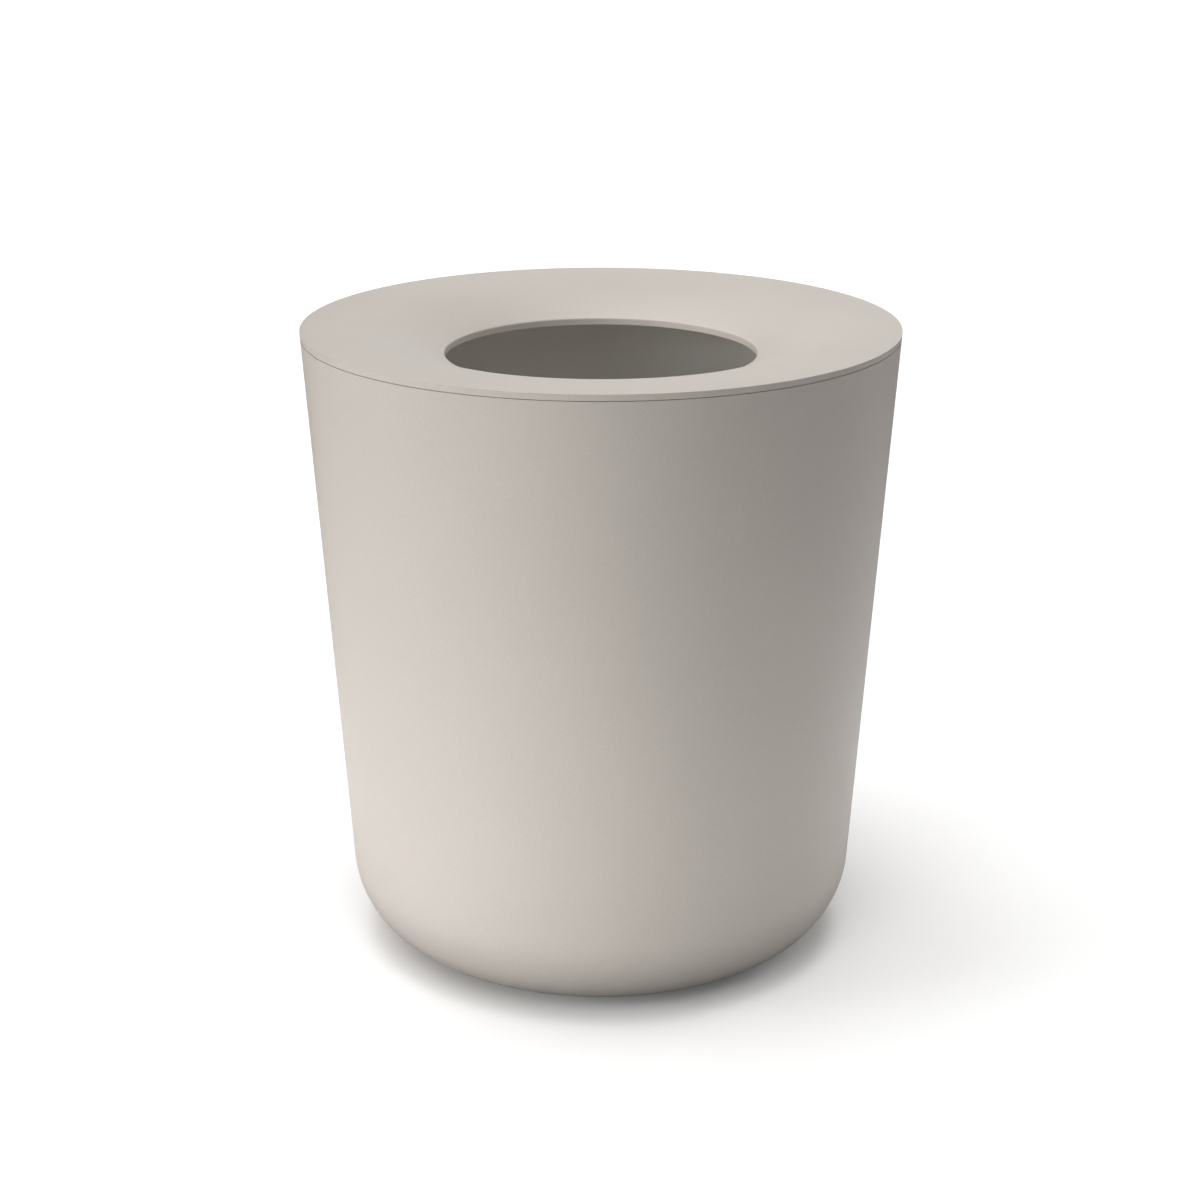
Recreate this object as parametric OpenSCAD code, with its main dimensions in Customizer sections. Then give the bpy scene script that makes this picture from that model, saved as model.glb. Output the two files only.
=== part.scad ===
// Round deskside wastebasket: a tapered outer shell with a rounded base, a dished lid ring that
// drops into its mouth, a removable inner liner and a wire hoop that holds the bag on the liner.
// Millimetres, +Z up, origin on the floor at the centre of the base, front towards -Y.

/* [Body] */
// Height from the floor to the top of the lid
height = 325; // [315:1:340]
// Diameter across the top edge of the lid
rim_d = 300; // [298:1:306]
// Diameter that the tapered side would have at floor level
base_d = 255.7; // [254:0.1:258]
// Radius of the large fillet between side and base
base_fillet = 47; // [42:1:50]
// Wall thickness of the outer shell
shell_wall = 3.6; // [3.4:0.1:3.8]
// Radius of the shell's outer top edge
shell_edge = 0.2; // [0.2:0.1:1.2]
// Height of the shell's base above the floor
floor_gap = 1.5; // [1:0.1:2]

/* [Lid] */
// Diameter of the waste opening
opening_d = 156.8; // [150:0.2:170]
// Width of the flat ring between the rim and the dish
flat_w = 12.8; // [11:0.2:14]
// Height of the band that is flush with the shell
band_h = 3.3; // [3.1:0.1:4]
// Gap between band and shell
lid_gap = 0.05; // [0.05:0.05:0.4]
// Wall thickness of the lid
lid_wall = 2.6; // [2.2:0.1:2.8]
// Radius of the lid's top edge
lid_edge = 0.2; // [0.2:0.1:1]
// Depth of the dish below the rim, where it meets the roll around the opening
dish_depth = 13.5; // [12.8:0.1:13.8]
// Width of the roll, seen from above
roll_w = 0.5; // [0.5:0.1:1]
// Depth of the opening lip's lower edge below the rim
lip_depth = 17.5; // [17.4:0.1:18.2]
// Length of the skirt that locates the lid in the mouth
skirt_h = 11.5; // [9:0.5:12]
// Number of stiffening ribs under the dish
lid_ribs = 12; // [6:1:18]

/* [Liner] */
// Depth of the liner's seat below the rim
seat_depth = 24; // [23.5:0.5:25]
// Wall thickness of the liner
liner_wall = 1.8; // [1.6:0.1:2]
// Height of the liner's base above the floor
liner_lift = 12; // [11:0.5:14]
// Radius of the liner's base fillet
liner_fillet = 40; // [36:1:42]
// Number of gussets in the shell that carry the liner
gussets = 8; // [4:1:12]
// Angle that each lift tab spans
tab_angle = 26; // [20:1:32]
// Depth of the lift tabs' top below the rim
tab_depth = 8.5; // [8:0.5:10]

/* [Bag hoop] */
// Wire diameter
wire_d = 3; // [2.6:0.1:3.1]
// Wire diameter of the two finger loops
loop_wire_d = 2.5; // [2:0.1:2.5]
// Centre-line radius of the two finger loops
loop_r = 10; // [8:0.5:11]

/* [Feet and pads] */
// Diameter of a foot
foot_d = 20; // [16:0.5:21]
// Radius of the circle that the feet stand on
foot_circle_r = 80; // [78:0.5:80]
// Depth that a foot's head sits into the base
foot_pocket = 1.5; // [1.2:0.1:1.6]
// Angle that each lid pad spans
pad_angle = 8; // [5:1:12]

/* [Hidden] */
$fn = 96;
arc_steps = 12;
fine_steps = 4;
eps = 0.5;                            // how far joined solids run into each other

stone = [0.72, 0.69, 0.65];
liner_grey = [0.62, 0.60, 0.57];
rubber_grey = [0.2, 0.2, 0.2];
wire_grey = [0.75, 0.75, 0.74];

// Corner directions, in degrees about +Z from +X
front_left = 225;
front_right = 315;
back_left = 135;
back_right = 45;

// Tapered side
slope = (rim_d - base_d) / 2 / height;
taper = atan(slope);
function side_r(z) = base_d / 2 + slope * z;
function inner_r(z) = side_r(z) - shell_wall / cos(taper);
shell_top = height - band_h - lid_gap;
fillet_c = [base_d / 2 + slope * base_fillet - base_fillet / cos(taper), base_fillet];
floor_z = floor_gap + shell_wall;     // inside of the shell's base
recess_r = 64;                        // raised centre of the base
recess_h = 0.9;
gate_r = 2.5;                         // moulding gate in the middle of the base

// Lid
opening_r = opening_d / 2;
dish_r = rim_d / 2 - flat_w;
dish_power = 2.15;                    // the dish starts softly and steepens towards the opening
dish_run = dish_r - opening_r - roll_w;
dish_steps = 24;
dish_end = atan(dish_power * dish_depth / dish_run);
roll_r = roll_w / (1 - sin(dish_end));
roll_c = [opening_r + roll_r, height - dish_depth - roll_r * cos(dish_end)];
lip_back = opening_r + lid_wall;
lip_edge = 0.4;
band_edge = 0.1;
fit_gap = 0.4;                        // lid skirt to shell
skirt_wall = 2.4;
skirt_end = height - band_h - skirt_h;
function skirt_side(z) = inner_r(z) - fit_gap;
skirt_in = skirt_side(skirt_end) - skirt_wall;
rib_wall = 1.6;
rib_h = 3.5;
rib_rise = 0.8;                       // ribs end this far above the lip's lower edge

// Liner and its seat
seat_z = height - seat_depth;
gusset_r = side_r(seat_z) - 8.85;     // inner edge of the gussets
gusset_wall = 2.4;
gusset_end = (gusset_r + shell_wall / cos(taper) - base_d / 2) / slope;
liner_r = gusset_r - 0.5;             // outside of the liner's wall at its seat
function liner_side(z) = liner_r - slope * (seat_z - z);
liner_fc = [liner_side(liner_lift) + slope * liner_fillet - liner_fillet / cos(taper),
            liner_lift + liner_fillet];
flange_r = gusset_r + 4.5;
flange_h = 2;
bead_h = 2.5;                         // outer bead of the bag channel
bead_w = 1.2;
channel_z = seat_z + flange_h;
channel_in = liner_side(channel_z + bead_h) + 0.1;
channel_out = flange_r - bead_w;
tab_out = liner_side(channel_z);
tab_in = tab_out - liner_wall;
tab_lip = 3;                          // how far a tab's top edge turns inwards
tab_lip_h = 2;
liner_dome = 50;                      // raised centre of the liner's base

// Bag hoop
hoop_r = (channel_in + channel_out) / 2;
hoop_z = channel_z + wire_d / 2;

// Feet
stem_r = 3;
stem_gap = 0.05;
bulb_r = 4.2;
bulb_h = 3.3;
foot_top = floor_gap + foot_pocket;

// Lid pads
pad_in = inner_r(shell_top) + 0.2;
pad_w = 1.7;
pad_pocket = 1.2;
pad_gap = 0.05;

// Points along a circular arc in the section plane, from angle a to angle b
function arc(c, r, a, b, n = arc_steps) =
    [for (i = [0:n]) c + r * [cos(a + (b - a) * i / n), sin(a + (b - a) * i / n)]];

// Point of the dish at a fraction of its run from the rim, moved down by a depth square to it
function dish_point(part, down = 0) =
    let (angle = atan(dish_power * dish_depth / dish_run * part ^ (dish_power - 1)))
    [dish_r - dish_run * part + down * sin(angle),
     height - dish_depth * part ^ dish_power - down * cos(angle)];
function dish(down = 0) = [for (i = [0:dish_steps]) dish_point(i / dish_steps, down)];
function behind_lip(points) = [for (p = points) if (p[0] > lip_back) p];
function reverse(points) = [for (i = [len(points) - 1:-1:0]) points[i]];

// Angle, below the horizontal, at which a circle of radius r centred at height c reaches height z
function dip(c, r, z) = -asin((c - z) / r);

module turned(points) {
    rotate_extrude() polygon(points);
}

// A flat plate that stands on a radius, from a section in [radius, height]
module radial_plate(angle, wall, points) {
    rotate([90, 0, angle]) linear_extrude(wall, center = true) polygon(points);
}

function shell_section() = concat(
    [[0, floor_gap + recess_h],
     [recess_r - 2, floor_gap + recess_h],
     [recess_r, floor_gap]],
    arc(fillet_c, base_fillet, dip(base_fillet, base_fillet, floor_gap), -taper),
    arc([side_r(shell_top - shell_edge) - shell_edge / cos(taper), shell_top - shell_edge],
        shell_edge, -taper, 90, fine_steps),
    [[inner_r(shell_top) + 0.5, shell_top],
     [inner_r(shell_top - 0.5), shell_top - 0.5]],
    arc(fillet_c, base_fillet - shell_wall, -taper,
        dip(base_fillet, base_fillet - shell_wall, floor_z)),
    [[0, floor_z]]);

module gusset(angle) {
    radial_plate(angle, gusset_wall,
        [[gusset_r, seat_z],
         [inner_r(seat_z) + eps, seat_z],
         [inner_r(gusset_end) + eps, gusset_end],
         [gusset_r, gusset_end]]);
}

module foot_seat(angle) {
    rotate([0, 0, angle]) translate([foot_circle_r, 0, 0]) {
        translate([0, 0, floor_gap - 1]) cylinder(r = foot_d / 2 + 0.3, h = foot_pocket + 1);
        translate([0, 0, floor_gap]) cylinder(r = stem_r + stem_gap, h = shell_wall + 1);
    }
}

module outer_shell() {
    color(stone) difference() {
        union() {
            turned(shell_section());
            for (i = [0:gussets - 1]) gusset(360 * (i + 0.5) / gussets);
            translate([0, 0, floor_gap + recess_h - 0.6]) cylinder(r = gate_r, h = 1.2);
        }
        for (a = [front_left, front_right, back_left, back_right]) foot_seat(a);
    }
}

// Push-in foot: a recessed pad on the floor, a stem through the base and a barbed bulb above it
module foot(angle) {
    color(rubber_grey) rotate([0, 0, angle]) translate([foot_circle_r, 0, 0]) turned(
        [[0, 0.6],
         [foot_d / 2 - 5, 0.6],
         [foot_d / 2 - 4, 0],
         [foot_d / 2 - 1, 0],
         [foot_d / 2, 1],
         [foot_d / 2, foot_top],
         [stem_r, foot_top],
         [stem_r, floor_z + stem_gap],
         [bulb_r, floor_z + stem_gap],
         [bulb_r, floor_z + 1],
         [bulb_r - 2, floor_z + bulb_h],
         [0, floor_z + bulb_h]]);
}

function liner_section() = concat(
    [[0, liner_lift + 1],
     [liner_dome, liner_lift + 1],
     [liner_dome + 2, liner_lift]],
    arc(liner_fc, liner_fillet, -90, -taper),
    [[liner_side(seat_z), seat_z],
     [flange_r - 0.3, seat_z],
     [flange_r, seat_z + 0.3],
     [flange_r, channel_z + bead_h - 0.5],
     [flange_r - 0.4, channel_z + bead_h],
     [channel_out + 0.3, channel_z + bead_h],
     [channel_out, channel_z + bead_h - 0.3],
     [channel_out, channel_z],
     [channel_in, channel_z],
     [channel_in, channel_z + bead_h - 1],
     [channel_in - 0.5, channel_z + bead_h - 0.5],
     [channel_in - 1.3, channel_z + bead_h - 0.5]],
    [[liner_side(channel_z) - liner_wall / cos(taper), channel_z + bead_h - 1.2]],
    arc(liner_fc, liner_fillet - liner_wall, -taper, -90),
    [[liner_dome + 1, liner_lift + liner_wall],
     [liner_dome - 1, liner_lift + liner_wall + 1],
     [0, liner_lift + liner_wall + 1]]);

// Part of a ring, centred on the given angle
module ring_sector(angle, inside, outside, low, high, span) {
    rotate([0, 0, angle - span / 2]) rotate_extrude(angle = span)
        translate([inside, low]) square([outside - inside, high - low]);
}

// Upright tab on the liner's rim, with its top edge turned inwards for the fingers
module lift_tab(angle) {
    top = height - tab_depth;
    ring_sector(angle, tab_in, tab_out, channel_z, top, tab_angle);
    ring_sector(angle, tab_in - tab_lip, tab_in + eps, top - tab_lip_h, top, tab_angle - 2);
}

module inner_liner() {
    color(liner_grey) {
        turned(liner_section());
        for (a = [0, 180]) lift_tab(a);
    }
}

// Half ring of wire that stands up on the hoop as a finger loop
module finger_loop(angle) {
    reach = sqrt(hoop_r ^ 2 - loop_r ^ 2);
    rotate([0, 0, angle]) translate([reach, 0, hoop_z]) rotate([90, 0, 90])
        rotate_extrude(angle = 180) translate([loop_r, 0]) circle(d = loop_wire_d);
}

module bag_hoop() {
    color(wire_grey) {
        rotate_extrude() translate([hoop_r, hoop_z]) circle(d = wire_d);
        for (a = [90, 270]) finger_loop(a);
    }
}

function lid_section() = concat(
    [[side_r(height - band_h) - band_edge, height - band_h],
     [side_r(height - band_h + band_edge), height - band_h + band_edge]],
    arc([side_r(height - lid_edge) - lid_edge / cos(taper), height - lid_edge],
        lid_edge, -taper, 90, fine_steps),
    dish(),
    arc(roll_c, roll_r, 90 + dish_end, 180, 2 * fine_steps),
    [[opening_r, height - lip_depth + lip_edge],
     [opening_r + lip_edge, height - lip_depth],
     [lip_back - lip_edge, height - lip_depth],
     [lip_back, height - lip_depth + lip_edge],
     [lip_back, dish_point(1, lid_wall)[1]]],
    reverse(behind_lip(dish(lid_wall))),
    [[skirt_in, height - lid_wall],
     [skirt_in, skirt_end],
     [skirt_side(skirt_end) - 0.8, skirt_end],
     [skirt_side(skirt_end + 1.6), skirt_end + 1.6],
     [skirt_side(height - band_h), height - band_h]]);

// Stiffening rib under the dish, from the opening's lip to the skirt
module lid_rib(angle) {
    inside = lip_back - eps;
    radial_plate(angle, rib_wall, concat(
        [[inside, height - lip_depth + rib_rise],
         [inside, dish_point(1, lid_wall - eps)[1]]],
        reverse(behind_lip(dish(lid_wall - eps))),
        [[skirt_in + eps, height - lid_wall + eps],
         [skirt_in + eps, height - lid_wall - rib_h]]));
}

module lid_ring() {
    color(stone) difference() {
        union() {
            turned(lid_section());
            for (i = [0:lid_ribs - 1]) lid_rib(360 * i / lid_ribs);
        }
        for (a = [front_left, front_right, back_left, back_right])
            ring_sector(a, pad_in, pad_in + pad_w, height - band_h - 1,
                        height - band_h + pad_pocket, pad_angle);
    }
}

// Soft strip in a pocket of the lid's band; it stands on the shell's top edge and sets the gap
module lid_pad(angle) {
    color(rubber_grey) ring_sector(angle, pad_in + pad_gap, pad_in + pad_w - pad_gap, shell_top,
        height - band_h + pad_pocket, pad_angle - 0.1);
}

outer_shell();
foot(front_left);  // foot_front_left
foot(front_right);  // foot_front_right
foot(back_left);  // foot_back_left
foot(back_right);  // foot_back_right
inner_liner();
bag_hoop();
lid_ring();
lid_pad(front_left);  // lid_pad_front_left
lid_pad(front_right);  // lid_pad_front_right
lid_pad(back_left);  // lid_pad_back_left
lid_pad(back_right);  // lid_pad_back_right
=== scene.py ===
"""Looks of a round deskside wastebasket: tapered shell, dished lid ring, inner liner and bag hoop.

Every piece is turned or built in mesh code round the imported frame. Sections are written in
millimetres of the object, as (distance from the axis, height), and scaled to the frame.
"""

import math

import bmesh
import bpy
from mathutils import Matrix, Vector


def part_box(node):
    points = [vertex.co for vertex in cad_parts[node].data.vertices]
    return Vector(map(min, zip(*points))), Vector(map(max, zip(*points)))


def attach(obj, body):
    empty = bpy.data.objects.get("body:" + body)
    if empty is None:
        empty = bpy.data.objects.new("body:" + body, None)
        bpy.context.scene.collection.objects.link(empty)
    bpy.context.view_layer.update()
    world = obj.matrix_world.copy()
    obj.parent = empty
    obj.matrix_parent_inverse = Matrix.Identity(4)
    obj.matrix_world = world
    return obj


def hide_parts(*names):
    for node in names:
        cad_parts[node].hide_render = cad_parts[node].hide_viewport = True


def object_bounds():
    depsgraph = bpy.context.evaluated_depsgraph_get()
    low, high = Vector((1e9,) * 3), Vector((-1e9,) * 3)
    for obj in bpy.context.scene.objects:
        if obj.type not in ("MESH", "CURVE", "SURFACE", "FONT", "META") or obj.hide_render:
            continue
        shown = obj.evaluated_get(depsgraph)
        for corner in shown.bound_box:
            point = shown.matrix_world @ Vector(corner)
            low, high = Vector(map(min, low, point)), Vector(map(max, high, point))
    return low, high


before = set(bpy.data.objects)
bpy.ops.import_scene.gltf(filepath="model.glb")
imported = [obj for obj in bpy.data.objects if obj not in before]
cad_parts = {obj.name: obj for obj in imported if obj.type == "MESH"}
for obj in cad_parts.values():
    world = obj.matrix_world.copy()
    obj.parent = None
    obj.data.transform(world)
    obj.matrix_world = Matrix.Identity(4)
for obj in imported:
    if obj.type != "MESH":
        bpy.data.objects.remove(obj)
CAD_LOW, CAD_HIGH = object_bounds()

# ---- Sizes, in millimetres of the object, with the frame's own heights where it has them ----
DESIGN_HEIGHT = 325.0
MM = (CAD_HIGH.z - CAD_LOW.z) / DESIGN_HEIGHT


def low_of(node):
    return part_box(node)[0].z / MM


def high_of(node):
    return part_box(node)[1].z / MM


RIM_R = 150.0                            # rim, where side and top would meet
BASE_R = 127.85                          # side carried down to the floor
SLOPE = (RIM_R - BASE_R) / DESIGN_HEIGHT
TAPER = math.atan(SLOPE)

SHELL_BASE = low_of("outer_shell")
SHELL_TOP = high_of("outer_shell")
SHELL_WALL = 3.6
SHELL_EDGE = 0.2
BASE_FILLET = 47.0
RECESS_R, RECESS_H = 64.0, 0.9           # the base's raised centre
RECESS_STEP, RECESS_EDGE = 2.0, 1.5
MOUTH_EDGE = 0.5                         # inner edge of the shell's mouth
GUSSETS, GUSSET_WALL = 8, 2.4
OVERLAP = 0.5                            # how far a joined shape runs into the piece it joins

LID_TOP = high_of("lid_ring")
BAND_H = 3.3
BAND_EDGE = 0.1
SKIRT_END = LID_TOP - BAND_H - 11.5
LID_WALL = 2.6
LID_EDGE = 0.2
OPENING_R = 78.4
DISH_R, DISH_DEPTH = 137.2, 13.5
DISH_POWER = 2.15                        # the dish starts softly and steepens towards the opening
ROLL_W = 0.5                             # of the roll round the opening, seen from above
DISH_RUN = DISH_R - OPENING_R - ROLL_W
LIP_DEPTH = 17.5
LIP_BACK = OPENING_R + LID_WALL
LIP_EDGE = 0.4
SKIRT_GAP, SKIRT_WALL = 0.4, 2.4
SKIRT_EDGE, SKIRT_LEAD, SKIRT_ROOT = 0.5, 0.8, 0.3
LID_RIBS, RIB_WALL, RIB_H = 12, 1.6, 3.5
RIB_RISE = 0.8                           # ribs end this far above the lip's lower edge

LINER_BASE = low_of("inner_liner")
LINER_WALL = 1.8
LINER_FILLET = 40.0
LINER_GAP = 0.5                          # between the liner's side and the gussets
PANEL_R, PANEL_H = 52.0, 1.0             # the liner's raised floor
PANEL_STEP, PANEL_EDGE = 2.0, 1.2
SEAT_Z = 301.0
GUSSET_R = BASE_R + SLOPE * SEAT_Z - 8.85
FLANGE_R = GUSSET_R + 4.5
CHANNEL_Z = SEAT_Z + 2.0
BEAD_H, BEAD_W = 2.5, 1.2
BEAD_TOP = CHANNEL_Z + BEAD_H
BEAD_OUT_EDGE, BEAD_IN_EDGE = 0.55, 0.5
CHANNEL_OFFSET = 0.1                     # of the channel's inner wall from the liner's side
CHANNEL_DROP = 0.5                       # its inner wall ends this far below the bead
SEAT_EDGE, FINE_EDGE, SOFT_EDGE = 0.4, 0.3, 0.6
TAB_TOP = high_of("inner_liner")
TAB_ANGLE, TAB_LIP, TAB_LIP_H = 26.0, 3.0, 2.0
TAB_OUT_EDGE, TAB_IN_EDGE = 1.1, 0.9

WIRE_R = 1.5
LOOP_WIRE_R, LOOP_R = 1.25, 10.0

FOOT_R, FOOT_CIRCLE_R = 10.0, 80.0
FOOT_TOP = SHELL_BASE + 1.5
FOOT_EDGE = 0.9
TREAD_W, TREAD_STEP, TREAD_H = 4.0, 1.0, 0.6    # the ring on the floor, round a hollow
STEM_R, BULB_R, BULB_H = 3.0, 4.2, 3.3
BULB_BAND, BULB_TAPER = 0.9, 2.0
FOOT_SEAT_GAP, STEM_GAP = 0.3, 0.05
STEM_FOOT_EDGE, STEM_TOP_EDGE = 0.2, 0.1

PAD_W, PAD_POCKET, PAD_ANGLE = 1.7, 1.2, 8.0
PAD_INSET = 0.2                          # from the shell's inner side
PAD_GAP, PAD_ANGLE_GAP = 0.05, 0.1       # between a pad and its pocket
PAD_EDGE = 0.15

CORNERS = {"front_left": 225, "front_right": 315, "back_left": 135, "back_right": 45}
CUT_PAST = 1.0                           # how far a cutting shape runs past the surface it cuts

# ---- Finishes: sizes in metres, amounts as shares ----
SHELL_COLOUR = (0.70, 0.645, 0.590)
LINER_COLOUR = (0.66, 0.635, 0.60)
RUBBER_COLOUR = (0.035, 0.035, 0.036)
STEEL_COLOUR = (0.62, 0.62, 0.61)
NOISE_RANGE = (0.3, 0.7)                 # holds most values of a noise texture
FLOW_SIZE, FLOW_AMOUNT = 0.09, 0.015     # slow changes of colour where the melt flowed
SHEEN_SIZE, SHEEN_AMOUNT = 0.025, 0.03   # slow changes of roughness
WIRE_SHADE_SIZE, WIRE_SHADE = 0.004, (0.94, 1.04)
WIRE_MARK_SIZE, WIRE_ROUGHNESS = 0.0008, (0.22, 0.38)

# ---- Light ----
FLOOR_RADIUS = 0.9
FLOOR_BOUNCE = ((0.13, 0.3), (0.24, 1.0), (0.36, 1.0), (0.60, 0.5))   # distance, share given back
FLOOR_SEEN = 1.25                        # shown brighter than it is, as in an overexposed white set
BACKDROP = 1.2                           # a little over white, so that it stays clean
PAINTED_CONTACT_LIGHT = ((0.09, 0.10), (0.10, 0.06), (0.12, 0.03), (0.15, 0.0))  # painted light: an emission only the camera sees, lifting the contact shadow near the base
LIGHTS = (                               # name, azimuth, elevation, softness in degrees, strength
    ("key", 285, 8, 25, 1.2),
    ("key_fill", 315, 8, 30, 0.7),
    ("right_back", 125, 12, 40, 1.0),
    ("back", 170, 12, 35, 0.2),
    ("front_high", 0, 55, 40, 0.8),
    ("left_high", 255, 60, 45, 0.6),
    ("top", 0, 90, 40, 1.1),
)
CAVITY_FILL = 0.06                       # watts, of a soft fill inside the liner
CAVITY_PLACE = (-0.01, 0.06, 0.20)
CAVITY_SOFTNESS = 0.05

# ---- Camera, which sees the object as the photograph does ----
LENS, SENSOR = 75.97, 36
CAMERA_PLACE = (-0.0032, -8.3056, 1.7653)    # in rim radii, from the middle of the lid's top
CAMERA_DOWN = 18.23                      # degrees below level

# ---- How finely things are built ----
COLUMNS = 240                            # round the axis
ARC_STEP = 3.0                           # mm along a round
FOOT_COLUMNS, FOOT_SEAT_COLUMNS = 64, 48
TAB_COLUMNS, PAD_COLUMNS, POCKET_COLUMNS = 26, 12, 8
WIRE_SIDES, LOOP_SIDES, LOOP_STEPS = 20, 16, 32
DISH_STEPS = 28
FEWEST_ARC_STEPS = 5
BEVEL_SEGMENTS = 3
ROW = 16.0                               # mm along a straight run
GUARD = 0.35                             # mm from a round to the loop that keeps a flat's shading flat
SMOOTH_TO = math.radians(32)             # sharper edges than this stay crisp
BEVEL_FROM = math.radians(45)            # sharper edges than this are rounded on a pad
MERGE = 1e-4                             # mm, below which points are one
ON_AXIS = 1e-6                           # mm, below which a point is on the axis
FLOOR_SIDES = 96


# ---- Sections ----
def side_r(z):
    return BASE_R + SLOPE * z


def inner_r(z):
    return side_r(z) - SHELL_WALL / math.cos(TAPER)


def at(centre, radius, degrees):
    turn = math.radians(degrees)
    return centre[0] + radius * math.cos(turn), centre[1] + radius * math.sin(turn)


def round_corner(centre, radius, start, end):
    """The corner, and its fillet, that make an arc of this circle from start to end degrees."""
    r, z = at(centre, radius / math.cos(math.radians(end - start) / 2), (start + end) / 2)
    return r, z, radius


def run(start, end):
    """Points strictly between two points, with a guard loop close to each end."""
    length = (end - start).length
    if length < 4 * GUARD:
        return []
    rows = max(1, round(length / ROW))
    stops = [GUARD / length] + [k / rows for k in range(1, rows)] + [1 - GUARD / length]
    return [start.lerp(end, t) for t in stops]


def fillet_points(before, corner, after, fillet):
    """The arc that rounds a corner, from its first tangent point to its last."""
    back, ahead = (before - corner).normalized(), (after - corner).normalized()
    half = back.angle(ahead) / 2
    centre = corner + (back + ahead).normalized() * fillet / math.sin(half)
    first = corner + back * fillet / math.tan(half) - centre
    turn = math.pi - 2 * half
    steps = max(FEWEST_ARC_STEPS, math.ceil(turn * fillet / ARC_STEP))
    side = math.copysign(1, first.x * ahead.y - first.y * ahead.x)
    return [centre + Matrix.Rotation(side * turn * k / steps, 2) @ first for k in range(steps + 1)]


def outline(corners, closed=False):
    """Points of a section. A corner is (distance from the axis, height, fillet); a list is a curve."""
    firsts = [Vector(c[0] if isinstance(c, list) else c[:2]) for c in corners]
    lasts = [Vector(c[-1] if isinstance(c, list) else c[:2]) for c in corners]
    arcs = []
    for i, corner in enumerate(corners):
        if isinstance(corner, list):
            arcs.append([Vector(point) for point in corner])
        elif len(corner) > 2:
            following = firsts[(i + 1) % len(corners)]
            arcs.append(fillet_points(lasts[i - 1], firsts[i], following, corner[2]))
        else:
            arcs.append([firsts[i]])
    points = []
    for i, arc in enumerate(arcs):
        points += arc
        if closed or i + 1 < len(arcs):
            points += run(arc[-1], arcs[(i + 1) % len(arcs)][0])
    return points


# ---- Mesh building ----
def new_object(name, mesh):
    """Wraps a bmesh, given in millimetres, as a smooth-shaded object in metres."""
    bmesh.ops.remove_doubles(mesh, verts=mesh.verts, dist=MERGE)
    bmesh.ops.recalc_face_normals(mesh, faces=mesh.faces)
    bmesh.ops.scale(mesh, vec=(MM, MM, MM), verts=mesh.verts)
    data = bpy.data.meshes.new(name)
    mesh.to_mesh(data)
    mesh.free()
    piece = bpy.data.objects.new(name, data)
    bpy.context.scene.collection.objects.link(piece)
    smooth(piece)
    return piece


def smooth(piece):
    piece.data.shade_smooth()
    piece.data.set_sharp_from_angle(angle=SMOOTH_TO)


def add_lathe(mesh, points, closed, columns=COLUMNS, place=Matrix.Identity(4)):
    """Turns a section about the axis; an open section starts and ends on it."""
    rows = []
    for r, z in points:
        spots = 1 if r < ON_AXIS else columns
        angles = [2 * math.pi * k / columns for k in range(spots)]
        rows.append([mesh.verts.new(place @ Vector((r * math.cos(a), r * math.sin(a), z)))
                     for a in angles])
    for low, high in zip(rows, rows[1:] + (rows[:1] if closed else [])):
        for k in range(columns):
            ring = [low[k % len(low)], low[(k + 1) % len(low)],
                    high[(k + 1) % len(high)], high[k % len(high)]]
            mesh.faces.new(list(dict.fromkeys(ring)))


def lathe(name, corners, closed=False, columns=COLUMNS, place=Matrix.Identity(4)):
    mesh = bmesh.new()
    add_lathe(mesh, outline(corners, closed), closed, columns, place)
    return new_object(name, mesh)


def add_sector(mesh, points, angle, span, columns):
    """Part of a turned ring, with flat ends, centred on the given direction in degrees."""
    rows = []
    for k in range(columns + 1):
        a = math.radians(angle - span / 2 + span * k / columns)
        rows.append([mesh.verts.new((r * math.cos(a), r * math.sin(a), z)) for r, z in points])
    count = len(points)
    for one, two in zip(rows, rows[1:]):
        for i in range(count):
            mesh.faces.new([one[i], one[(i + 1) % count], two[(i + 1) % count], two[i]])
    mesh.faces.new(rows[0])
    mesh.faces.new(rows[-1])


def add_plate(mesh, points, angle, wall):
    """A flat plate that stands on a radius."""
    turn = Matrix.Rotation(math.radians(angle), 4, "Z")
    faces = [[mesh.verts.new(turn @ Vector((r, side * wall / 2, z))) for r, z in points]
             for side in (-1, 1)]
    for ring in faces:
        mesh.faces.new(ring)
    for i in range(len(points)):
        j = (i + 1) % len(points)
        mesh.faces.new([faces[0][i], faces[0][j], faces[1][j], faces[1][i]])


def add_tube(mesh, path, radius, sides, closed):
    """A round wire along a path of points that lie in one plane."""
    count = len(path)
    normal = (path[1] - path[0]).cross(path[2] - path[1]).normalized()
    rings = []
    for i, point in enumerate(path):
        ahead = path[(i + 1) % count] if closed or i + 1 < count else point
        behind = path[i - 1] if closed or i else point
        across = normal.cross((ahead - behind).normalized())
        rings.append([mesh.verts.new(point + radius * (across * math.cos(a) + normal * math.sin(a)))
                      for a in (2 * math.pi * k / sides for k in range(sides))])
    for one, two in zip(rings, rings[1:] + (rings[:1] if closed else [])):
        for k in range(sides):
            mesh.faces.new([one[k], one[(k + 1) % sides], two[(k + 1) % sides], two[k]])
    if not closed:
        mesh.faces.new(rings[0])
        mesh.faces.new(rings[-1])


def combine(piece, tool, operation):
    """Joins the tool's mesh to the piece, or cuts it out, and removes the tool."""
    modifier = piece.modifiers.new("combine", "BOOLEAN")
    modifier.operation = operation
    modifier.object = tool
    modifier.solver = "EXACT"
    graph = bpy.context.evaluated_depsgraph_get()
    made = bpy.data.meshes.new_from_object(piece.evaluated_get(graph))
    piece.modifiers.clear()
    piece.data = made
    bpy.data.objects.remove(tool)
    smooth(piece)


def settle(piece, body, slot, *nodes):
    """Hangs a finished piece under its body and hides the nodes it stands for; the slot is not used.
    """
    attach(piece, body)
    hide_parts(*nodes)


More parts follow.
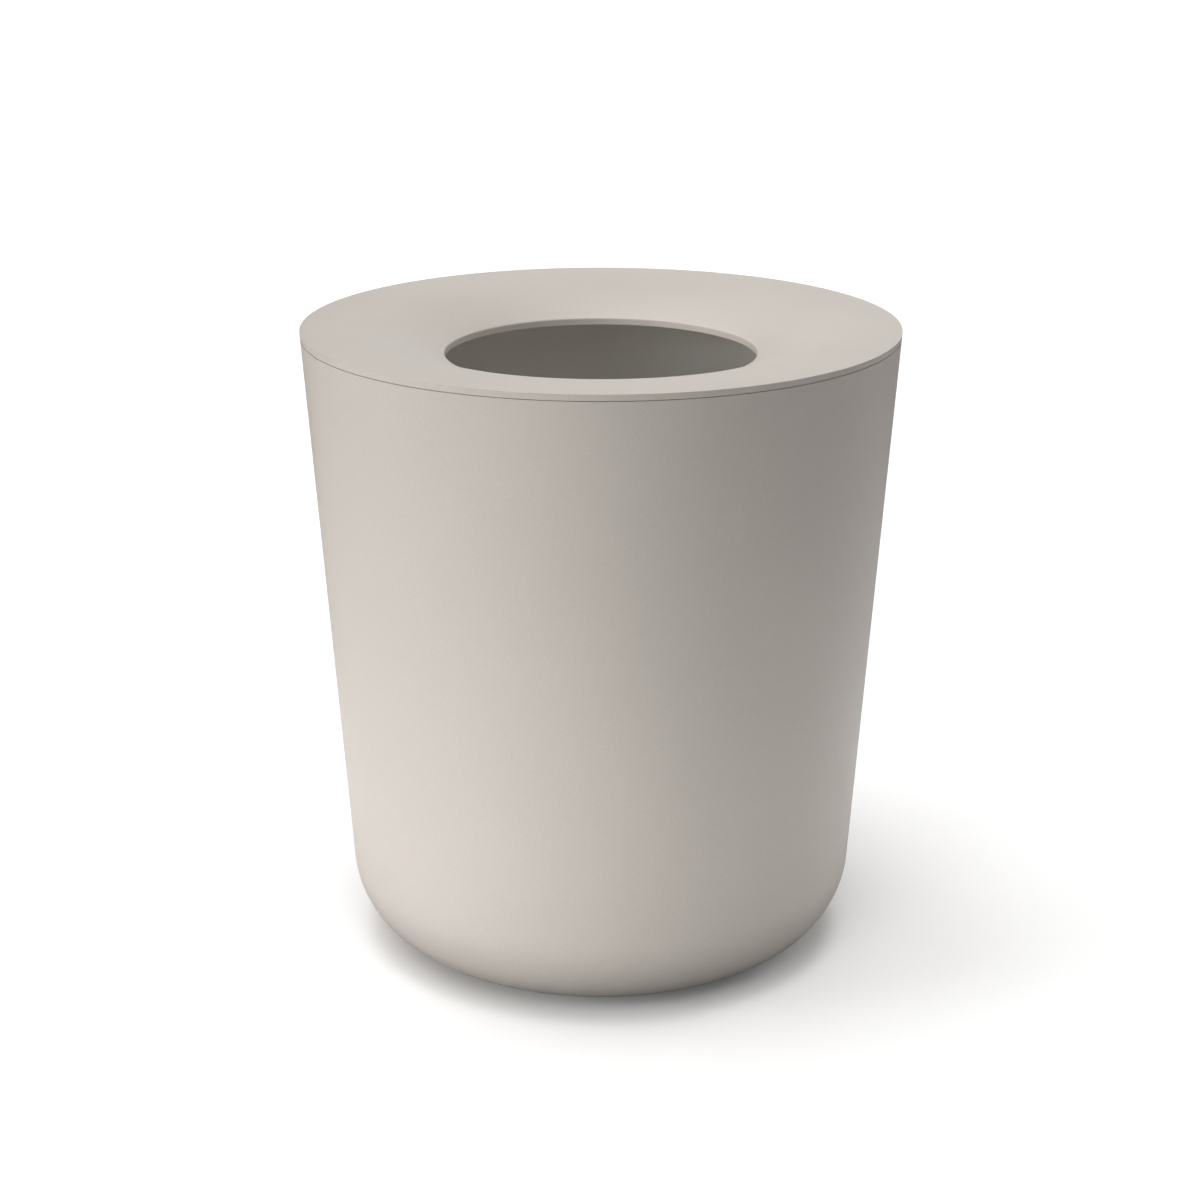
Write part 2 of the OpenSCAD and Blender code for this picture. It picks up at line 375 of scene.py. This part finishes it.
# ---- Pieces ----
def make_shell():
    centre = (BASE_R + SLOPE * BASE_FILLET - BASE_FILLET / math.cos(TAPER), BASE_FILLET)
    taper = math.degrees(TAPER)
    dip = -math.degrees(math.asin((BASE_FILLET - SHELL_BASE) / BASE_FILLET))
    inside = BASE_FILLET - SHELL_WALL
    floor = SHELL_BASE + SHELL_WALL
    inner_dip = -math.degrees(math.asin((BASE_FILLET - floor) / inside))
    base_edge = at(centre, BASE_FILLET, dip)
    floor_edge = at(centre, inside, inner_dip)
    shell = lathe("shell_moulding", [
        (0, SHELL_BASE + RECESS_H),
        (RECESS_R - RECESS_STEP, SHELL_BASE + RECESS_H, RECESS_EDGE),
        (RECESS_R, SHELL_BASE, RECESS_EDGE),
        base_edge,
        round_corner(centre, BASE_FILLET, dip, -taper),
        (side_r(SHELL_TOP), SHELL_TOP, SHELL_EDGE),
        (inner_r(SHELL_TOP), SHELL_TOP, MOUTH_EDGE),
        round_corner(centre, inside, -taper, inner_dip),
        floor_edge,
        (0, floor),
    ])
    gussets = bmesh.new()
    foot_z = (GUSSET_R + SHELL_WALL / math.cos(TAPER) - BASE_R) / SLOPE
    section = [(GUSSET_R, SEAT_Z), (inner_r(SEAT_Z) + OVERLAP, SEAT_Z),
               (inner_r(foot_z) + OVERLAP, foot_z), (GUSSET_R, foot_z)]
    for i in range(GUSSETS):
        add_plate(gussets, section, 360 * (i + 0.5) / GUSSETS, GUSSET_WALL)
    combine(shell, new_object("gussets", gussets), "UNION")
    seats = bmesh.new()
    seat_r, hole_r = FOOT_R + FOOT_SEAT_GAP, STEM_R + STEM_GAP
    low, high = SHELL_BASE - CUT_PAST, floor + CUT_PAST
    cut = [(0, low), (seat_r, low), (seat_r, FOOT_TOP), (hole_r, FOOT_TOP), (hole_r, high), (0, high)]
    for angle in CORNERS.values():
        add_lathe(seats, cut, False, FOOT_SEAT_COLUMNS, foot_place(angle))
    combine(shell, new_object("foot_seats", seats), "DIFFERENCE")
    settle(shell, "shell", "body_plastic", "outer_shell")
    return shell


def foot_place(angle):
    return (Matrix.Rotation(math.radians(angle), 4, "Z")
            @ Matrix.Translation((FOOT_CIRCLE_R, 0, 0)))


def make_foot(corner, angle):
    bulb_low = SHELL_BASE + SHELL_WALL + STEM_GAP
    bulb_top = SHELL_BASE + SHELL_WALL + BULB_H
    hollow_r = FOOT_R - TREAD_W - TREAD_STEP
    foot = lathe("foot_rubber_" + corner, [
        (0, TREAD_H),
        (hollow_r, TREAD_H, FINE_EDGE),
        (hollow_r + TREAD_STEP, 0, FINE_EDGE),
        (FOOT_R, 0, FOOT_EDGE),
        (FOOT_R, FOOT_TOP, FINE_EDGE),
        (STEM_R, FOOT_TOP, STEM_FOOT_EDGE),
        (STEM_R, bulb_low, STEM_TOP_EDGE),
        (BULB_R, bulb_low, FINE_EDGE),
        (BULB_R, bulb_low + BULB_BAND, FINE_EDGE),
        (BULB_R - BULB_TAPER, bulb_top, SOFT_EDGE),
        (0, bulb_top),
    ], columns=FOOT_COLUMNS, place=foot_place(angle))
    settle(foot, "shell", "foot_rubber", "foot_" + corner)
    return foot


def liner_side(z):
    return GUSSET_R - LINER_GAP - SLOPE * (SEAT_Z - z)


def channel_walls():
    """How far the bag channel's inner and outer walls are from the axis."""
    return liner_side(BEAD_TOP) + CHANNEL_OFFSET, FLANGE_R - BEAD_W


def make_liner():
    taper = math.degrees(TAPER)
    wall = LINER_WALL / math.cos(TAPER)
    centre = (liner_side(LINER_BASE) + SLOPE * LINER_FILLET - LINER_FILLET / math.cos(TAPER),
              LINER_BASE + LINER_FILLET)
    inside = LINER_FILLET - LINER_WALL
    channel_in, channel_out = channel_walls()
    inner_top = BEAD_TOP - CHANNEL_DROP
    floor = LINER_BASE + LINER_WALL
    panel_in = PANEL_R - PANEL_STEP / 2      # keeps the wall even through the step
    liner = lathe("liner_moulding", [
        (0, LINER_BASE + PANEL_H),
        (PANEL_R - PANEL_STEP, LINER_BASE + PANEL_H, PANEL_EDGE),
        (PANEL_R, LINER_BASE, PANEL_EDGE),
        round_corner(centre, LINER_FILLET, -90, -taper),
        (liner_side(SEAT_Z), SEAT_Z, SEAT_EDGE),
        (FLANGE_R, SEAT_Z, FINE_EDGE),
        (FLANGE_R, BEAD_TOP, BEAD_OUT_EDGE),
        (channel_out, BEAD_TOP, BEAD_IN_EDGE),
        (channel_out, CHANNEL_Z, FINE_EDGE),
        (channel_in, CHANNEL_Z, FINE_EDGE),
        (channel_in, inner_top, SOFT_EDGE),
        (liner_side(BEAD_TOP) - wall, inner_top, SOFT_EDGE),
        round_corner(centre, inside, -taper, -90),
        (panel_in, floor, PANEL_EDGE),
        (panel_in - PANEL_STEP, floor + PANEL_H, PANEL_EDGE),
        (0, floor + PANEL_H),
    ])
    tabs = bmesh.new()
    tab_out = liner_side(CHANNEL_Z)
    tab_in = tab_out - LINER_WALL
    section = outline([
        (tab_in, CHANNEL_Z),
        (tab_out, CHANNEL_Z),
        (tab_out, TAB_TOP, TAB_OUT_EDGE),
        (tab_in - TAB_LIP, TAB_TOP, TAB_IN_EDGE),
        (tab_in - TAB_LIP, TAB_TOP - TAB_LIP_H, TAB_IN_EDGE),
        (tab_in, TAB_TOP - TAB_LIP_H, SOFT_EDGE),
    ], closed=True)
    for angle in (0, 180):
        add_sector(tabs, section, angle, TAB_ANGLE, TAB_COLUMNS)
    combine(liner, new_object("tabs", tabs), "UNION")
    settle(liner, "liner", "liner_plastic", "inner_liner")
    return liner


def make_hoop():
    radius = sum(channel_walls()) / 2
    height = CHANNEL_Z + WIRE_R
    ring = [Vector((radius * math.cos(a), radius * math.sin(a), height))
            for a in (2 * math.pi * k / COLUMNS for k in range(COLUMNS))]
    mesh = bmesh.new()
    add_tube(mesh, ring, WIRE_R, WIRE_SIDES, True)
    hoop = new_object("hoop_wire", mesh)
    loops = bmesh.new()
    reach = math.sqrt(radius ** 2 - LOOP_R ** 2)
    for side in (-1, 1):
        path = [Vector((LOOP_R * math.cos(a), side * reach, height + LOOP_R * math.sin(a)))
                for a in (math.pi * k / LOOP_STEPS for k in range(LOOP_STEPS + 1))]
        add_tube(loops, path, LOOP_WIRE_R, LOOP_SIDES, False)
    combine(hoop, new_object("loops", loops), "UNION")
    settle(hoop, "hoop", "hoop_wire", "bag_hoop")
    return hoop


def dish_point(part, down=0.0):
    """Point of the dish at a fraction of its run from the rim, moved down by a depth square to it."""
    angle = math.atan(DISH_POWER * DISH_DEPTH / DISH_RUN * part ** (DISH_POWER - 1))
    return (DISH_R - DISH_RUN * part + down * math.sin(angle),
            LID_TOP - DISH_DEPTH * part ** DISH_POWER - down * math.cos(angle))


def dish(down=0.0):
    return [dish_point(k / DISH_STEPS, down) for k in range(DISH_STEPS + 1)]


def under_dish(down):
    """The dish moved down, from the back of the lip outwards."""
    return [point for point in reversed(dish(down)) if point[0] > LIP_BACK]


def make_lid():
    turn = math.atan(DISH_POWER * DISH_DEPTH / DISH_RUN)
    roll_r = ROLL_W / (1 - math.sin(turn))
    roll = (OPENING_R + roll_r, LID_TOP - DISH_DEPTH - roll_r * math.cos(turn))
    lip_low = LID_TOP - LIP_DEPTH
    band_low = LID_TOP - BAND_H
    skirt_in = inner_r(SKIRT_END) - SKIRT_GAP - SKIRT_WALL
    lid = lathe("lid_moulding", [
        (side_r(band_low), band_low, BAND_EDGE),
        (side_r(LID_TOP), LID_TOP, LID_EDGE),
        dish(),
        round_corner(roll, roll_r, 90 + math.degrees(turn), 180),
        (OPENING_R, lip_low, LIP_EDGE),
        (LIP_BACK, lip_low, LIP_EDGE),
        (LIP_BACK, dish_point(1, LID_WALL)[1]),
        under_dish(LID_WALL),
        (skirt_in, LID_TOP - LID_WALL, SKIRT_EDGE),
        (skirt_in, SKIRT_END, SKIRT_EDGE),
        (inner_r(SKIRT_END) - SKIRT_GAP, SKIRT_END, SKIRT_LEAD),
        (inner_r(band_low) - SKIRT_GAP, band_low, SKIRT_ROOT),
    ], closed=True)
    ribs = bmesh.new()
    inside, outside = LIP_BACK - OVERLAP, skirt_in + OVERLAP
    top = LID_WALL - OVERLAP
    section = ([(inside, lip_low + RIB_RISE), (inside, dish_point(1, top)[1])] + under_dish(top)
               + [(outside, LID_TOP - top), (outside, LID_TOP - LID_WALL - RIB_H)])
    for i in range(LID_RIBS):
        add_plate(ribs, section, 360 * i / LID_RIBS, RIB_WALL)
    combine(lid, new_object("ribs", ribs), "UNION")
    pockets = bmesh.new()
    for angle in CORNERS.values():
        add_sector(pockets, pad_section(band_low - CUT_PAST, 0), angle, PAD_ANGLE, POCKET_COLUMNS)
    combine(lid, new_object("pockets", pockets), "DIFFERENCE")
    settle(lid, "lid", "body_plastic", "lid_ring")
    return lid


def pad_section(low, gap):
    """A pad's section from the given height up, smaller than its pocket by the gap."""
    inside = inner_r(SHELL_TOP) + PAD_INSET + gap
    outside = inner_r(SHELL_TOP) + PAD_INSET + PAD_W - gap
    high = LID_TOP - BAND_H + PAD_POCKET
    return [(inside, low), (outside, low), (outside, high), (inside, high)]


def make_pad(corner, angle):
    mesh = bmesh.new()
    add_sector(mesh, pad_section(SHELL_TOP, PAD_GAP), angle, PAD_ANGLE - PAD_ANGLE_GAP, PAD_COLUMNS)
    bmesh.ops.recalc_face_normals(mesh, faces=mesh.faces)
    sharp = [edge for edge in mesh.edges if edge.calc_face_angle(0) > BEVEL_FROM]
    bmesh.ops.bevel(mesh, geom=sharp, offset=PAD_EDGE, segments=BEVEL_SEGMENTS, profile=0.5,
                    affect="EDGES")
    pad = new_object("pad_strip_" + corner, mesh)
    settle(pad, "lid", "foot_rubber", "lid_pad_" + corner)
    return pad


# ---- Materials ----
def shader(name):
    """A new material with its node tree and its Principled node."""
    material = bpy.data.materials.new(name)
    material.use_nodes = True
    tree = material.node_tree
    return material, tree, tree.nodes["Principled BSDF"]


def noise(tree, size, detail=2.0, roughness=0.5):
    """Noise in the object's own space, whose features are about size metres across."""
    place = tree.nodes.new("ShaderNodeTexCoord")
    texture = tree.nodes.new("ShaderNodeTexNoise")
    texture.inputs["Scale"].default_value = 1 / size
    texture.inputs["Detail"].default_value = detail
    texture.inputs["Roughness"].default_value = roughness
    tree.links.new(place.outputs["Object"], texture.inputs["Vector"])
    return texture.outputs["Fac"]


def spread(tree, value, low, high):
    """Maps a noise value to the range from low to high."""
    node = tree.nodes.new("ShaderNodeMapRange")
    node.inputs["From Min"].default_value = NOISE_RANGE[0]
    node.inputs["From Max"].default_value = NOISE_RANGE[1]
    node.inputs["To Min"].default_value = low
    node.inputs["To Max"].default_value = high
    tree.links.new(value, node.inputs["Value"])
    return node.outputs["Result"]


def tinted(tree, colour, amount):
    """A colour, or another node's colour, made lighter and darker by amount."""
    node = tree.nodes.new("ShaderNodeHueSaturation")
    if isinstance(colour, tuple):
        node.inputs["Color"].default_value = (*colour, 1)
    else:
        tree.links.new(colour, node.inputs["Color"])
    tree.links.new(amount, node.inputs["Value"])
    return node.outputs["Color"]


def moulded_plastic(name, colour, grain, depth, roughness, painted_grain_shade):
    """Matte plastic from a textured mould: fine grain with painted shade on it (peaks painted lighter,
    hollows darker), flow marks, uneven sheen.

    Grain and depth are the texture's width and height in metres, roughness is the surface's own, and
    the last argument is the share by which the grain is painted lighter on its peaks and darker in its
    hollows, a painted shade of the texture.
    """
    material, tree, surface = shader(name)
    texture = noise(tree, grain, detail=3, roughness=0.6)
    marks = spread(tree, noise(tree, FLOW_SIZE, detail=3), 1 - FLOW_AMOUNT, 1 + FLOW_AMOUNT)
    flow = tinted(tree, colour, marks)
    # painted light and shade: the grain's peaks lighter and its hollows darker in the base colour
    peaks = tinted(tree, flow, spread(tree, texture, 1 - painted_grain_shade, 1 + painted_grain_shade))
    tree.links.new(peaks, surface.inputs["Base Color"])
    sheen = spread(tree, noise(tree, SHEEN_SIZE),
                   roughness - SHEEN_AMOUNT, roughness + SHEEN_AMOUNT)
    tree.links.new(sheen, surface.inputs["Roughness"])
    bump = tree.nodes.new("ShaderNodeBump")
    bump.inputs["Distance"].default_value = depth
    bump.inputs["Strength"].default_value = 1.0
    tree.links.new(texture, bump.inputs["Height"])
    tree.links.new(bump.outputs["Normal"], surface.inputs["Normal"])
    return material


def rubber(name):
    # the rubber's grain gets the same painted shade: peaks lighter, hollows darker
    return moulded_plastic(name, RUBBER_COLOUR, grain=0.0003, depth=0.00002, roughness=0.75,
                           painted_grain_shade=0.05)


def drawn_wire(name):
    """Stainless wire, a little uneven in shade, with fine marks."""
    material, tree, surface = shader(name)
    surface.inputs["Metallic"].default_value = 1.0
    shade = spread(tree, noise(tree, WIRE_SHADE_SIZE, detail=3), *WIRE_SHADE)
    tree.links.new(tinted(tree, STEEL_COLOUR, shade), surface.inputs["Base Color"])
    marks = spread(tree, noise(tree, WIRE_MARK_SIZE), *WIRE_ROUGHNESS)
    tree.links.new(marks, surface.inputs["Roughness"])
    return material


def paint(piece, material):
    piece.data.materials.clear()
    piece.data.materials.append(material)


# ---- Stage ----
def camera_only(tree):
    """1 where the camera looks straight at a surface, and 0 for every bounce."""
    return tree.nodes.new("ShaderNodeLightPath").outputs["Is Camera Ray"]


def ramp(tree, value, stops):
    """A grey level that runs through the stops, each given as (value, level)."""
    node = tree.nodes.new("ShaderNodeValToRGB")
    tree.links.new(value, node.inputs["Fac"])
    while len(node.color_ramp.elements) < len(stops):
        node.color_ramp.elements.new(1)
    for stop, (place, level) in zip(node.color_ramp.elements, stops):
        stop.position = place
        stop.color = (level, level, level, 1)
    return node.outputs["Color"]


def make_floor():
    """A round white floor, clear from below; beyond its edge the background takes over."""
    mesh = bmesh.new()
    bmesh.ops.create_circle(mesh, cap_ends=True, segments=FLOOR_SIDES, radius=FLOOR_RADIUS)
    data = bpy.data.meshes.new("floor")
    mesh.to_mesh(data)
    mesh.free()
    floor = bpy.data.objects.new("floor", data)
    bpy.context.scene.collection.objects.link(floor)
    material = bpy.data.materials.new("floor_white")
    material.use_nodes = True
    tree = material.node_tree
    tree.nodes.clear()
    place = tree.nodes.new("ShaderNodeTexCoord")
    distance = tree.nodes.new("ShaderNodeVectorMath")
    distance.operation = "LENGTH"
    tree.links.new(place.outputs["Object"], distance.inputs[0])
    level = tree.nodes.new("ShaderNodeMapRange")
    tree.links.new(ramp(tree, distance.outputs["Value"], FLOOR_BOUNCE), level.inputs["To Min"])
    level.inputs["To Max"].default_value = FLOOR_SEEN
    tree.links.new(camera_only(tree), level.inputs["Value"])
    surface = tree.nodes.new("ShaderNodeBsdfDiffuse")
    tree.links.new(level.outputs["Result"], surface.inputs["Color"])
    # painted light: an emission only the camera sees, brightest next to the base, lifts the contact
    # shadow
    painted_light = tree.nodes.new("ShaderNodeEmission")
    tree.links.new(ramp(tree, distance.outputs["Value"], PAINTED_CONTACT_LIGHT), painted_light.inputs["Color"])
    tree.links.new(camera_only(tree), painted_light.inputs["Strength"])
    both = tree.nodes.new("ShaderNodeAddShader")
    tree.links.new(surface.outputs["BSDF"], both.inputs[0])
    tree.links.new(painted_light.outputs["Emission"], both.inputs[1])
    open_below = tree.nodes.new("ShaderNodeMixShader")
    below = tree.nodes.new("ShaderNodeNewGeometry").outputs["Backfacing"]
    tree.links.new(below, open_below.inputs["Fac"])
    tree.links.new(both.outputs["Shader"], open_below.inputs[1])
    clear = tree.nodes.new("ShaderNodeBsdfTransparent")
    tree.links.new(clear.outputs["BSDF"], open_below.inputs[2])
    output = tree.nodes.new("ShaderNodeOutputMaterial")
    tree.links.new(open_below.outputs["Shader"], output.inputs["Surface"])
    floor.data.materials.append(material)


def make_world():
    """A white background that only the camera sees; the lights do the lighting."""
    world = bpy.data.worlds.new("studio")
    bpy.context.scene.world = world
    world.use_nodes = True
    tree = world.node_tree
    tree.links.new(camera_only(tree), tree.nodes["Background"].inputs["Strength"])
    tree.nodes["Background"].inputs["Color"].default_value = (BACKDROP, BACKDROP, BACKDROP, 1)


def make_lights():
    """Large soft lights; azimuth 0 shines from the front, 90 from the right, 180 from behind."""
    for name, azimuth, elevation, softness, strength in LIGHTS:
        data = bpy.data.lights.new(name, "SUN")
        data.energy = strength
        data.angle = math.radians(softness)
        light = bpy.data.objects.new(name, data)
        light.rotation_euler = (math.radians(90 - elevation), 0, math.radians(azimuth))
        bpy.context.scene.collection.objects.link(light)
    data = bpy.data.lights.new("inside", "POINT")
    data.energy = CAVITY_FILL
    data.shadow_soft_size = CAVITY_SOFTNESS
    light = bpy.data.objects.new("inside", data)
    light.location = CAVITY_PLACE
    light.visible_camera = light.visible_glossy = False
    bpy.context.scene.collection.objects.link(light)


def make_camera():
    rim = RIM_R * MM
    data = bpy.data.cameras.new("camera")
    data.sensor_width = SENSOR
    data.lens = LENS
    camera = bpy.data.objects.new("camera", data)
    camera.location = Vector((0, 0, LID_TOP * MM)) + rim * Vector(CAMERA_PLACE)
    camera.rotation_euler = (math.radians(90 - CAMERA_DOWN), 0, 0)
    bpy.context.scene.collection.objects.link(camera)
    bpy.context.scene.camera = camera


def main():
    # the last argument of each finish paints shade onto its grain: peaks lighter, hollows darker
    plastic = moulded_plastic("shell_plastic", SHELL_COLOUR, grain=0.0009, depth=0.00004,
                              roughness=0.44, painted_grain_shade=0.035)
    inside = moulded_plastic("liner_plastic", LINER_COLOUR, grain=0.0009, depth=0.00003,
                             roughness=0.5, painted_grain_shade=0.02)
    paint(make_shell(), plastic)
    paint(make_lid(), plastic)
    paint(make_liner(), inside)
    paint(make_hoop(), drawn_wire("hoop_steel"))
    soft = rubber("soft_rubber")
    for corner, angle in CORNERS.items():
        paint(make_foot(corner, angle), soft)
        paint(make_pad(corner, angle), soft)
    make_floor()
    make_world()
    make_lights()
    make_camera()
    bpy.context.scene.view_settings.view_transform = "Standard"


main()
